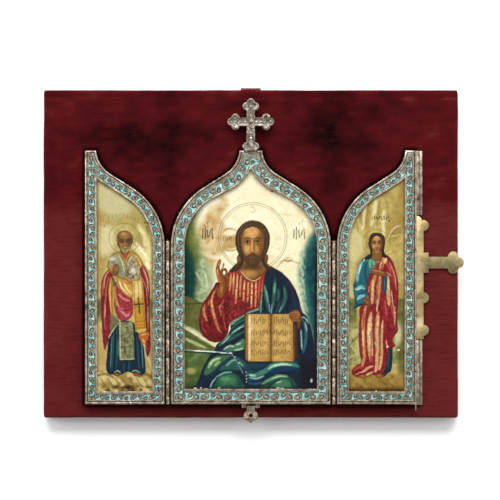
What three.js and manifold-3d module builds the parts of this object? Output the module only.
// Travelling triptych icon in silver, enamel and painted mother-of-pearl, lying open on its velvet board.
// Millimetres. X to the right, Y towards the finial, Z towards the viewer.
// The origin is the centre of the board's underside.

import * as THREE from "three";
import { mergeVertices } from "three/addons/utils/BufferGeometryUtils.js";
import Module from "manifold-3d";

const wasm = await Module();
wasm.setup();

// Clearances
const CLEARANCE = 0.3; // between pieces that touch in the real object
const PIN_CLEARANCE = 0.1; // round a hinge pin, and round a turning barrel
const BED_CLEARANCE = 0.7; // between the centre frame and the cut edge of the velvet

// Velvet board
const BOARD_WIDTH = 166.3;
const BOARD_HEIGHT = 131.5;
const BOARD_THICKNESS = 8.0;
const BOARD_CORNER = 0.2;
const BOARD_EDGE = 0.5; // how far the padded edges are rounded over
const BED_DEPTH = 1.0; // the sunk bed that the centre frame lies in
const RIBBON_WIDTH = 8.0;
const RIBBON_STAND = 0.8;
const RIBBON_THICKNESS = 1.6;

// Ogee outline that the three frames share, measured from the middle line of the triptych
const HALF_WIDTH = 31.9;
const BASE_Y = -60.0;
const SPRING_Y = 3.0; // where the straight sides start to curve in
const SHOULDER_RADIUS = 27.7;
const NECK_ANGLE = 32; // degrees, slope of the straight stretch above the shoulder
const TIP_ANGLE = 85; // degrees, slope where the neck curve ends
const TIP_HALF_WIDTH = 4.5;
const TIP_Y = 41.2;
const SHOULDER_STEPS = 10;
const NECK_STEPS = 8;

// Layers of a wing, from its back to its front
const WING_FLOOR = 0.6;
const WING_PEARL = 0.6;
const WING_LIP = 0.6; // enamel border over the pearl
const RIM_STAND = 0.3; // rim above the enamel border
const CENTRE_PEARL = 1.0;
const CENTRE_LIP = 1.0;
const ENAMEL_SINK = 0.25; // depth of the channel that the enamel fills
const PEARL_TUCK = 0.8; // pearl under the lip of its border

// Widths of the borders, from the outer edge inwards: [sides, neck, foot]
const CENTRE_RIM = [0.75, 0.75, 0.9];
const CENTRE_BEAD = 0.4; // silver edge outside the enamel
const CENTRE_BAND_END = [4.9, 5.7, 4.7];
const CENTRE_OPENING = [5.4, 6.4, 6.0];
const WING_RIM = [0.7, 0.7, 0.8];
const WING_BEAD = 0.35;
const WING_BAND_END = [4.0, 4.0, 3.8];
const WING_OPENING = [4.7, 4.7, 5.0];

// Wing hinges
const BARREL_RADIUS = 0.65;
const PIN_RADIUS = 0.25;
const LEAF_THICKNESS = 0.22;
const LEAF_DEPTH = 2.2;
const HINGE_TOP = 5.2;
const KNUCKLE_PITCH = 7.8;
const BARREL_SIDES = 16;

// Closing strip and applied cross on the back of the right wing
const STRIP_THICKNESS = 0.7;
const STRIP_UNDER_WING = 2.0;
const STRIP_OVERHANG = 2.3;
const STRIP_GROOVE_WIDTH = 0.5;
const STRIP_GROOVE_DEPTH = 0.2;
const STRIP_GROOVE_FROM_EDGE = 1.1;
const STRIP_FOOT = 0.4; // below the frames' feet
const CROSS_TOP_Y = 15.3;
const CROSS_FOOT_Y = -34.2;
const CROSS_SHAFT_HALF = 2.8;
const CROSS_LOBE = 2.15;
const CROSS_ARM_Y = -3.5;
const CROSS_ARM_HALF = 2.3;
const CROSS_REACH = 19.0;
const CROSS_BRACKET_REACH = 4.8;
const CROSS_BRACKET_HALF = 4.0;
const CROSS_LOWER_LOBES = 16.6; // from the foot up to the upper pair of the two lower lobes
const CROSS_FOOT_LOBES = 3.6; // from the foot up to the lowest lobes

// Finial cross
const FINIAL_THICKNESS = 2.2;
const FINIAL_SINK = 0.4; // rim in front of the cross's face
const FINIAL_ARM = 9.3;
const FINIAL_FOOT = 11.9;
const FINIAL_BAR_HALF = 1.65;
const FINIAL_LOBE = 1.62;
const FINIAL_LOBE_BACK = 3.15; // lobes behind the tip of an arm
const FINIAL_BORDER = 0.5;
const FINIAL_FIELD_DEPTH = 0.35;
const FINIAL_SOLE_HALF = 2.5;
const FINIAL_SOLE = 0.8;
const FINIAL_NOTCH = 0.6; // how deep its foot is let into the rim

// Hasp below the centre frame, and the stud that it closes over
const HASP_REACH = 3.55; // from its pivot to its hole
const HASP_THICKNESS = 0.7;
const HASP_BARREL_RADIUS = 0.5;
const HASP_PIN_RADIUS = 0.2;
const HASP_DROP = 1.1; // pivot below the frame's foot
const HASP_HINGE_WIDTH = 7.2;
const HASP_KNUCKLE_WIDTH = 3.2;
const HASP_WAIST = 3.2;
const HASP_FLARE = 5.6;
const HASP_TIP = 3.2; // from the hole down to the tip
const HASP_HOLE_RADIUS = 0.8;
const STUD_RADIUS = 0.25;
const STUD_LENGTH = 2.6;

// Heights and places that follow
const velvetTop = BOARD_THICKNESS;
const bedFloor = velvetTop - BED_DEPTH;
const stripBottom = velvetTop + CLEARANCE;
const stripTop = stripBottom + STRIP_THICKNESS;
const wingBack = stripTop + CLEARANCE;
const wingFloorTop = wingBack + WING_FLOOR;
const wingPearlTop = wingFloorTop + CLEARANCE + WING_PEARL;
const enamelTop = wingPearlTop + CLEARANCE + WING_LIP;
const front = enamelTop + RIM_STAND;
const centreBack = bedFloor + CLEARANCE;
const centrePearlTop = enamelTop - CENTRE_LIP - CLEARANCE;
const centreFloorTop = centrePearlTop - CENTRE_PEARL - CLEARANCE;
const hingeZ = front + CLEARANCE / 2;
const hingeX = HALF_WIDTH + CLEARANCE + LEAF_THICKNESS + PIN_CLEARANCE + BARREL_RADIUS;
const meetingX = 2 * hingeX; // where a closed wing would meet the other, seen while it lies open
const wingEdge = CLEARANCE / 2; // each closed wing stops this far from the middle line
const studZ = (wingBack + front) / 2;
const haspZ = 2 * hingeZ - studZ - HASP_REACH;
const haspY = BASE_Y - HASP_DROP;

// Materials
const paint = (color, roughness, metalness) =>
  new THREE.MeshStandardMaterial({ color, roughness, metalness });
const velvet = paint(0x5a201f, 0.95, 0);
const ribbon = paint(0x8c1c26, 0.8, 0);
const silver = paint(0x9a8a74, 0.42, 1);
const gilt = paint(0xc9b98c, 0.38, 1);
const enamel = paint(0x86c4c4, 0.25, 0);
const pearl = paint(0xb9a878, 0.22, 0);

const degrees = (angle) => (angle * Math.PI) / 180;

// Turns a three.js geometry into a solid.
function solid(geometry) {
  const bare = geometry.clone();
  bare.deleteAttribute("normal");
  bare.deleteAttribute("uv");
  const merged = mergeVertices(bare, 1e-4);
  return new wasm.Manifold(
    new wasm.Mesh({
      numProp: 3,
      vertProperties: new Float32Array(merged.attributes.position.array),
      triVerts: new Uint32Array(merged.index.array),
    }),
  );
}

// A flat plate with the given outline, from height low to height high.
function plate(points, low, high) {
  const geometry = new THREE.ExtrudeGeometry(new THREE.Shape(points), {
    depth: high - low,
    bevelEnabled: false,
  });
  geometry.translate(0, 0, low);
  return solid(geometry);
}

function block(x0, x1, y0, y1, low, high) {
  const geometry = new THREE.BoxGeometry(x1 - x0, y1 - y0, high - low);
  geometry.translate((x0 + x1) / 2, (y0 + y1) / 2, (low + high) / 2);
  return solid(geometry);
}

function disc(x, y, radius, low, high, sides = 24) {
  const geometry = new THREE.CylinderGeometry(radius, radius, high - low, sides);
  geometry.rotateX(Math.PI / 2);
  geometry.translate(x, y, (low + high) / 2);
  return solid(geometry);
}

// A round bar along Y.
function rodY(x, z, radius, y0, y1, sides = BARREL_SIDES) {
  const geometry = new THREE.CylinderGeometry(radius, radius, y1 - y0, sides);
  geometry.translate(x, (y0 + y1) / 2, z);
  return solid(geometry);
}

// A round bar along X.
function rodX(y, z, radius, x0, x1, sides = BARREL_SIDES) {
  const geometry = new THREE.CylinderGeometry(radius, radius, x1 - x0, sides);
  geometry.rotateZ(Math.PI / 2);
  geometry.translate((x0 + x1) / 2, y, z);
  return solid(geometry);
}

const join = (parts) => parts.reduce((whole, part) => whole.add(part));

// Ogee outlines

// The centre of the neck curve and its radius, found so that a straight stretch joins it to the shoulder.
function neckCurve() {
  const neck = degrees(NECK_ANGLE);
  const tip = degrees(TIP_ANGLE);
  const endX = HALF_WIDTH - SHOULDER_RADIUS * (1 - Math.sin(neck));
  const endY = SPRING_Y + SHOULDER_RADIUS * Math.cos(neck);
  const spanX = endX - TIP_HALF_WIDTH;
  const spanY = TIP_Y - endY;
  const runX = Math.sin(tip) - Math.sin(neck);
  const runY = Math.cos(neck) - Math.cos(tip);
  const scale = Math.cos(neck) * runY - Math.sin(neck) * runX;
  const straight = (spanX * runY - spanY * runX) / scale;
  const radius = (spanY * Math.cos(neck) - spanX * Math.sin(neck)) / scale;
  const startX = endX - straight * Math.cos(neck);
  const startY = endY + straight * Math.sin(neck);
  return {
    radius,
    x: startX + radius * Math.sin(neck),
    y: startY + radius * Math.cos(neck),
  };
}
const neckArc = neckCurve();

// The right-hand side of the outline, from its springing up to its tip, moved inwards by the insets.
function ogeeSide([side, neck]) {
  const points = [];
  for (let i = 0; i <= SHOULDER_STEPS; i++) {
    const turn = degrees(((90 - NECK_ANGLE) * i) / SHOULDER_STEPS);
    const radius = SHOULDER_RADIUS - side;
    points.push([
      HALF_WIDTH - SHOULDER_RADIUS + radius * Math.cos(turn),
      SPRING_Y + radius * Math.sin(turn),
    ]);
  }
  for (let i = 0; i <= NECK_STEPS; i++) {
    const slope = degrees(NECK_ANGLE + ((TIP_ANGLE - NECK_ANGLE) * i) / NECK_STEPS);
    const radius = neckArc.radius + neck;
    points.push([neckArc.x - radius * Math.sin(slope), neckArc.y - radius * Math.cos(slope)]);
  }
  return points;
}

// Keeps the part of a closed outline where measure(point) is not negative.
function trim(points, measure) {
  const kept = [];
  points.forEach((from, i) => {
    const to = points[(i + 1) % points.length];
    const a = measure(from);
    const b = measure(to);
    if (a >= 0) kept.push(from);
    if (a >= 0 !== b >= 0) {
      const share = a / (a - b);
      kept.push([from[0] + (to[0] - from[0]) * share, from[1] + (to[1] - from[1]) * share]);
    }
  });
  return kept;
}

const vectors = (points) => points.map(([x, y]) => new THREE.Vector2(x, y));

// The half of the outline right of x = left, with its insets.
function halfOutline(inset, left) {
  const [side, neck, foot] = inset;
  const rise = ogeeSide(inset);
  const tip = rise[rise.length - 1];
  const beyond = -HALF_WIDTH;
  const whole = [
    [beyond, BASE_Y + foot],
    [HALF_WIDTH - side, BASE_Y + foot],
    ...rise,
    [beyond, tip[1]],
  ];
  const below = trim(whole, ([, y]) => TIP_Y - neck - y);
  return trim(below, ([x]) => x - left);
}

// The centre frame's outline, moved inwards by the insets.
function centreOutline(inset) {
  const half = halfOutline(inset, 0);
  const right = half.filter(([x]) => x > 1e-6);
  const left = right.map(([x, y]) => [-x, y]).reverse();
  const apex = half.filter(([x]) => x <= 1e-6).sort((p, q) => q[1] - p[1])[0];
  return vectors([...right, apex, ...left]);
}

// The right wing's outline as it lies open, moved inwards by the insets.
function wingOutline(inset) {
  const half = halfOutline(inset, wingEdge + inset[0]);
  return vectors(half.map(([x, y]) => [meetingX - x, y]).reverse());
}

const inset = (widths, more) => widths.map((width) => width + more);

// A tray with a raised rim, which holds a border and its pearl.
function tray(outline, rim, back, floorTop) {
  const body = plate(outline([0, 0, 0]), back, front);
  const pocket = plate(outline(rim), floorTop, front + 1);
  return body.subtract(pocket);
}

// The enamel border: a ring with a sunk channel for the enamel, and a step behind it for the pearl.
function border(outline, widths, floorTop, pearlTop) {
  const { rim, bead, bandEnd, opening } = widths;
  const outer = inset(rim, CLEARANCE);
  const ring = plate(outline(outer), floorTop + CLEARANCE, enamelTop);
  const hole = plate(outline(opening), floorTop, enamelTop + 1);
  const step = plate(outline(inset(opening, -PEARL_TUCK - CLEARANCE)), floorTop, pearlTop + CLEARANCE);
  const channelTop = enamelTop + 1;
  const channel = plate(outline(inset(outer, bead)), enamelTop - ENAMEL_SINK, channelTop);
  const land = plate(outline(bandEnd), floorTop, channelTop);
  return ring.subtract(hole).subtract(step).subtract(channel.subtract(land));
}

function pearlPanel(outline, opening, floorTop, pearlTop) {
  return plate(outline(inset(opening, -PEARL_TUCK)), floorTop + CLEARANCE, pearlTop);
}

const centreWidths = {
  rim: CENTRE_RIM,
  bead: CENTRE_BEAD,
  bandEnd: CENTRE_BAND_END,
  opening: CENTRE_OPENING,
};
const wingWidths = {
  rim: WING_RIM,
  bead: WING_BEAD,
  bandEnd: WING_BAND_END,
  opening: WING_OPENING,
};

// Velvet board

function roundedRectangle(width, height, radius) {
  const x = width / 2;
  const y = height / 2;
  const shape = new THREE.Shape();
  shape.moveTo(-x + radius, -y);
  shape.lineTo(x - radius, -y);
  shape.absarc(x - radius, -y + radius, radius, -Math.PI / 2, 0, false);
  shape.lineTo(x, y - radius);
  shape.absarc(x - radius, y - radius, radius, 0, Math.PI / 2, false);
  shape.lineTo(-x + radius, y);
  shape.absarc(-x + radius, y - radius, radius, Math.PI / 2, Math.PI, false);
  shape.lineTo(-x, -y + radius);
  shape.absarc(-x + radius, -y + radius, radius, Math.PI, 1.5 * Math.PI, false);
  return shape;
}

function velvetBoard() {
  const shape = roundedRectangle(
    BOARD_WIDTH - 2 * BOARD_EDGE,
    BOARD_HEIGHT - 2 * BOARD_EDGE,
    BOARD_CORNER,
  );
  const geometry = new THREE.ExtrudeGeometry(shape, {
    depth: BOARD_THICKNESS - 2 * BOARD_EDGE,
    bevelThickness: BOARD_EDGE,
    bevelSize: BOARD_EDGE,
    bevelSegments: 3,
    curveSegments: 4,
  });
  geometry.translate(0, 0, BOARD_EDGE);
  const around = BED_CLEARANCE;
  const bed = plate(centreOutline([-around, -around, -around]), bedFloor, velvetTop + 1);
  const hingeSide = hingeX + BARREL_RADIUS + BED_CLEARANCE;
  const foot = BASE_Y - BED_CLEARANCE;
  const hinges = block(-hingeSide, hingeSide, foot, HINGE_TOP + 2.5, bedFloor, velvetTop + 1);
  return solid(geometry).subtract(bed).subtract(hinges);
}

function ribbonTab() {
  const edge = BOARD_HEIGHT / 2 + CLEARANCE;
  const low = (BOARD_THICKNESS - RIBBON_THICKNESS) / 2;
  return block(
    -RIBBON_WIDTH / 2,
    RIBBON_WIDTH / 2,
    edge,
    edge + RIBBON_STAND,
    low,
    low + RIBBON_THICKNESS,
  );
}

// Centre frame, with the lugs of the hasp's hinge and the notch for the finial's foot

function centreFrame() {
  const body = tray(centreOutline, CENTRE_RIM, centreBack, centreFloorTop);
  const notchHalf = FINIAL_SOLE_HALF + CLEARANCE;
  const notch = block(-notchHalf, notchHalf, TIP_Y - FINIAL_NOTCH, TIP_Y + 1, centreBack - 1, front + 1);
  const lugs = [-1, 1].map((side) => {
    const near = HASP_KNUCKLE_WIDTH / 2 + CLEARANCE;
    const far = HASP_HINGE_WIDTH / 2;
    const [x0, x1] = side < 0 ? [-far, -near] : [near, far];
    const half = HASP_BARREL_RADIUS * 0.8;
    const ear = block(x0, x1, haspY, BASE_Y + CENTRE_RIM[2] / 2, haspZ - half, haspZ + half);
    return rodX(haspY, haspZ, HASP_BARREL_RADIUS, x0, x1).add(ear);
  });
  const bore = rodX(
    haspY,
    haspZ,
    HASP_PIN_RADIUS + PIN_CLEARANCE,
    -HASP_HINGE_WIDTH,
    HASP_HINGE_WIDTH,
  );
  return body.subtract(notch).add(join(lugs)).subtract(bore);
}

function rightWingFrame() {
  const body = tray(wingOutline, WING_RIM, wingBack, wingFloorTop);
  const studX = meetingX - wingEdge - STUD_RADIUS;
  const studTop = BASE_Y + WING_RIM[2] / 2;
  return body.add(rodY(studX, studZ, STUD_RADIUS, BASE_Y - STUD_LENGTH, studTop));
}

// Trefoil-ended bars, shared by the finial and the applied cross

// An arm that runs from the origin along direction (dx, dy) and ends in three lobes.
function trefoilArm(arm) {
  const { x, y, dx, dy, reach, half, lobe, back, low, high } = arm;
  const tip = reach - lobe;
  const side = reach - back;
  const end = [x + dx * tip, y + dy * tip];
  const spread = half;
  const bar = block(
    Math.min(x, end[0]) - half * Math.abs(dy),
    Math.max(x, end[0]) + half * Math.abs(dy),
    Math.min(y, end[1]) - half * Math.abs(dx),
    Math.max(y, end[1]) + half * Math.abs(dx),
    low,
    high,
  );
  const lobes = [-1, 1].map((way) =>
    disc(x + dx * side - dy * spread * way, y + dy * side + dx * spread * way, lobe, low, high, 20),
  );
  return join([bar, disc(end[0], end[1], lobe, low, high, 20), ...lobes]);
}

const finialY = TIP_Y - FINIAL_NOTCH + CLEARANCE + FINIAL_FOOT;

// The finial's plan drawn in by the given amount: 0 gives its outline, more gives its sunk field.
function finialPlan(drawnIn, low, high) {
  const half = FINIAL_BAR_HALF - drawnIn;
  const lobe = FINIAL_LOBE - drawnIn;
  const arms = [
    [1, 0],
    [-1, 0],
    [0, 1],
  ].map(([dx, dy]) =>
    trefoilArm({
      x: 0,
      y: finialY,
      dx,
      dy,
      reach: FINIAL_ARM - drawnIn,
      half,
      lobe,
      back: FINIAL_LOBE_BACK - drawnIn,
      low,
      high,
    }),
  );
  const sole = finialY - FINIAL_FOOT;
  const lobeY = sole + FINIAL_SOLE + FINIAL_LOBE * 0.75;
  const stem = block(-half, half, sole + FINIAL_SOLE / 2 + drawnIn, finialY, low, high);
  const feet = [-1, 1].map((way) => disc(way * FINIAL_BAR_HALF, lobeY, lobe, low, high, 20));
  return join([...arms, stem, ...feet]);
}

function finialCross() {
  const high = front - FINIAL_SINK;
  const low = high - FINIAL_THICKNESS;
  const sole = finialY - FINIAL_FOOT;
  const body = finialPlan(0, low, high).add(
    block(-FINIAL_SOLE_HALF, FINIAL_SOLE_HALF, sole, sole + FINIAL_SOLE, low, high),
  );
  const field = finialPlan(FINIAL_BORDER, high - FINIAL_FIELD_DEPTH, high + 1);
  return body.subtract(field);
}

// The applied cross lies behind the right wing's edge; half of it reaches past the wing.
function appliedCross() {
  const common = { low: stripBottom, high: stripTop, lobe: CROSS_LOBE };
  const arms = [-1, 1].map((way) =>
    trefoilArm({
      ...common,
      x: meetingX,
      y: CROSS_ARM_Y,
      dx: way,
      dy: 0,
      reach: CROSS_REACH,
      half: CROSS_ARM_HALF,
      back: 2 * CROSS_LOBE,
    }),
  );
  const top = trefoilArm({
    ...common,
    x: meetingX,
    y: CROSS_ARM_Y,
    dx: 0,
    dy: 1,
    reach: CROSS_TOP_Y - CROSS_ARM_Y,
    half: CROSS_SHAFT_HALF,
    back: 1.85 * CROSS_LOBE,
  });
  const shaft = block(
    meetingX - CROSS_SHAFT_HALF,
    meetingX + CROSS_SHAFT_HALF,
    CROSS_FOOT_Y,
    CROSS_ARM_Y,
    stripBottom,
    stripTop,
  );
  const brackets = block(
    meetingX - CROSS_BRACKET_REACH,
    meetingX + CROSS_BRACKET_REACH,
    CROSS_ARM_Y - CROSS_BRACKET_HALF,
    CROSS_ARM_Y + CROSS_BRACKET_HALF,
    stripBottom,
    stripTop,
  );
  const lobes = [CROSS_LOWER_LOBES, CROSS_FOOT_LOBES].flatMap((up) =>
    [-1, 1].map((way) => {
      const x = meetingX + way * CROSS_SHAFT_HALF;
      return disc(x, CROSS_FOOT_Y + up, CROSS_LOBE, stripBottom, stripTop, 20);
    }),
  );
  return join([...arms, top, shaft, brackets, ...lobes]);
}

function closingStrip(y0, y1) {
  const outer = meetingX + STRIP_OVERHANG;
  const bar = block(meetingX - STRIP_UNDER_WING, outer, y0, y1, stripBottom, stripTop);
  const grooveEdge = outer - STRIP_GROOVE_FROM_EDGE;
  const grooveLow = stripTop - STRIP_GROOVE_DEPTH;
  const groove = block(grooveEdge - STRIP_GROOVE_WIDTH, grooveEdge, y0 - 1, y1 + 1, grooveLow, stripTop + 1);
  return bar.subtract(groove);
}

// Wing hinges

// One leaf with its knuckles. The side is 1 for the right hinge; toWing says which frame the leaf is fixed to.
function hingeLeaf(side, toWing) {
  const away = toWing ? side : -side;
  const axis = side * hingeX;
  const near = BARREL_RADIUS + PIN_CLEARANCE;
  const span = (from, to) => [axis + away * from, axis + away * to].sort((a, b) => a - b);
  const [leafLow, leafHigh] = span(near, near + LEAF_THICKNESS);
  const [linkLow, linkHigh] = span(0, near + LEAF_THICKNESS);
  const leafTop = front;
  const parts = [block(leafLow, leafHigh, BASE_Y, HINGE_TOP, leafTop - LEAF_DEPTH, leafTop)];
  const count = Math.ceil((HINGE_TOP - BASE_Y) / KNUCKLE_PITCH);
  for (let i = toWing ? 1 : 0; i < count; i += 2) {
    const high = HINGE_TOP - i * KNUCKLE_PITCH;
    const low = Math.max(BASE_Y, high - KNUCKLE_PITCH + CLEARANCE);
    parts.push(rodY(axis, hingeZ, BARREL_RADIUS, low, high));
    parts.push(block(linkLow, linkHigh, low, high, hingeZ - BARREL_RADIUS * 0.85, leafTop));
  }
  const bore = rodY(axis, hingeZ, PIN_RADIUS + PIN_CLEARANCE, BASE_Y - 1, HINGE_TOP + 1);
  return join(parts).subtract(bore);
}

const hingePin = (side) => rodY(side * hingeX, hingeZ, PIN_RADIUS, BASE_Y, HINGE_TOP);

// Hasp

function haspPlate() {
  const holeY = haspY - HASP_REACH;
  const low = haspZ - HASP_THICKNESS / 2;
  const high = haspZ + HASP_THICKNESS / 2;
  const waistY = haspY - HASP_REACH * 0.55;
  const flareY = holeY - HASP_HOLE_RADIUS * 0.7;
  const tipY = holeY - HASP_TIP;
  const shape = new THREE.Shape();
  shape.moveTo(-HASP_KNUCKLE_WIDTH / 2, haspY);
  shape.lineTo(-HASP_WAIST / 2, waistY);
  shape.quadraticCurveTo(-HASP_FLARE / 2, waistY, -HASP_FLARE / 2, flareY);
  shape.quadraticCurveTo(-HASP_FLARE / 2, (flareY + tipY) / 2, -HASP_WAIST / 4, (flareY + 2 * tipY) / 3);
  shape.quadraticCurveTo(0, tipY - HASP_TIP / 8, HASP_WAIST / 4, (flareY + 2 * tipY) / 3);
  shape.quadraticCurveTo(HASP_FLARE / 2, (flareY + tipY) / 2, HASP_FLARE / 2, flareY);
  shape.quadraticCurveTo(HASP_FLARE / 2, waistY, HASP_WAIST / 2, waistY);
  shape.lineTo(HASP_KNUCKLE_WIDTH / 2, haspY);
  const geometry = new THREE.ExtrudeGeometry(shape, {
    depth: HASP_THICKNESS,
    bevelEnabled: false,
    curveSegments: 6,
  });
  geometry.translate(0, 0, low);
  const half = HASP_KNUCKLE_WIDTH / 2;
  const knuckle = rodX(haspY, haspZ, HASP_BARREL_RADIUS, -half, half);
  const hole = disc(0, holeY, HASP_HOLE_RADIUS, low - 1, high + 1, 20);
  const bore = rodX(haspY, haspZ, HASP_PIN_RADIUS + PIN_CLEARANCE, -half - 1, half + 1);
  return solid(geometry).add(knuckle).subtract(hole).subtract(bore);
}

const haspPin = () => {
  const half = HASP_HINGE_WIDTH / 2;
  return rodX(haspY, haspZ, HASP_PIN_RADIUS, -half, half);
};

// Assembly

const triptych = new THREE.Group();

function place(name, body, material) {
  const { numProp, vertProperties, triVerts } = body.getMesh();
  const positions = new Float32Array((vertProperties.length / numProp) * 3);
  for (let i = 0; i < positions.length / 3; i++) {
    positions.set(vertProperties.subarray(i * numProp, i * numProp + 3), i * 3);
  }
  const geometry = new THREE.BufferGeometry();
  geometry.setAttribute("position", new THREE.BufferAttribute(positions, 3));
  geometry.setIndex(new THREE.BufferAttribute(new Uint32Array(triVerts), 1));
  geometry.computeVertexNormals();
  const mesh = new THREE.Mesh(geometry, material);
  mesh.name = name;
  triptych.add(mesh);
}

const mirrored = (body) => body.mirror([1, 0, 0]);

place("velvet_board", velvetBoard(), velvet);
place("ribbon_tab", ribbonTab(), ribbon);

place("centre_frame", centreFrame(), silver);
place("centre_enamel_border", border(centreOutline, centreWidths, centreFloorTop, centrePearlTop), enamel);
place("centre_pearl_panel", pearlPanel(centreOutline, CENTRE_OPENING, centreFloorTop, centrePearlTop), pearl);
place("finial_cross", finialCross(), silver);

const wingBorder = border(wingOutline, wingWidths, wingFloorTop, wingPearlTop);
const wingPearl = pearlPanel(wingOutline, WING_OPENING, wingFloorTop, wingPearlTop);
place("left_wing_frame", mirrored(tray(wingOutline, WING_RIM, wingBack, wingFloorTop)), silver);
place("left_enamel_border", mirrored(wingBorder), enamel);
place("left_pearl_panel", mirrored(wingPearl), pearl);
place("right_wing_frame", rightWingFrame(), silver);
place("right_enamel_border", wingBorder, enamel);
place("right_pearl_panel", wingPearl, pearl);

place("upper_closing_strip", closingStrip(CROSS_TOP_Y + CLEARANCE, TIP_Y), silver);
place("lower_closing_strip", closingStrip(BASE_Y - STRIP_FOOT, CROSS_FOOT_Y - CLEARANCE), silver);
place("applied_cross", appliedCross(), gilt);

for (const [name, side] of [
  ["left", -1],
  ["right", 1],
]) {
  place(`${name}_hinge_centre_leaf`, hingeLeaf(side, false), silver);
  place(`${name}_hinge_wing_leaf`, hingeLeaf(side, true), silver);
  place(`${name}_hinge_pin`, hingePin(side), silver);
}

place("hasp", haspPlate(), silver);
place("hasp_pin", haspPin(), silver);

export default triptych;
